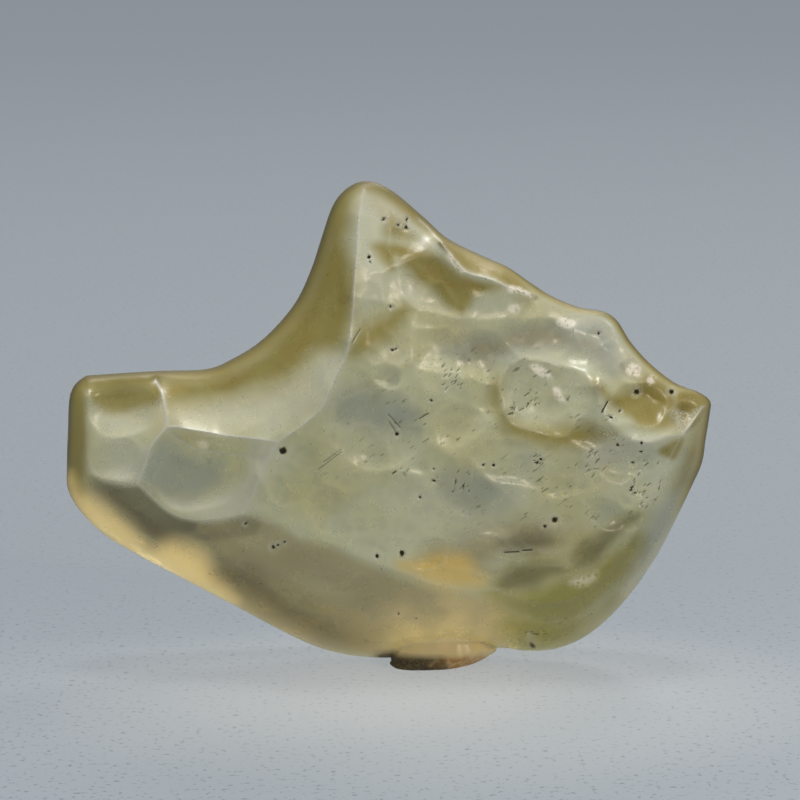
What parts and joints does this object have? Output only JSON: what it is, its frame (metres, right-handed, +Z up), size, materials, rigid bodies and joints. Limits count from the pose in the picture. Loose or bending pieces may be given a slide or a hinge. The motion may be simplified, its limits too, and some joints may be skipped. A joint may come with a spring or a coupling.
{
  "type": "libyan desert glass",
  "caption": "Wind-worn piece of natural yellow-green desert glass with a tall point, a side arm and a scalloped face, standing on a small flat foot.",
  "frame": {"origin": "centre of the bounding box at the level of the foot's flat underside", "axes": "+X to the right in the picture, from the arm to the pointed end; +Y from the scalloped face to the back; +Z up"},
  "size_m": [0.0398, 0.0122, 0.0302],
  "materials": {
    "desert_glass": "frosted, wind-polished, see-through yellow-green"
  },
  "bodies": {
    "root": {"desert_glass": "desert_glass"}
  },
  "joints": []
}
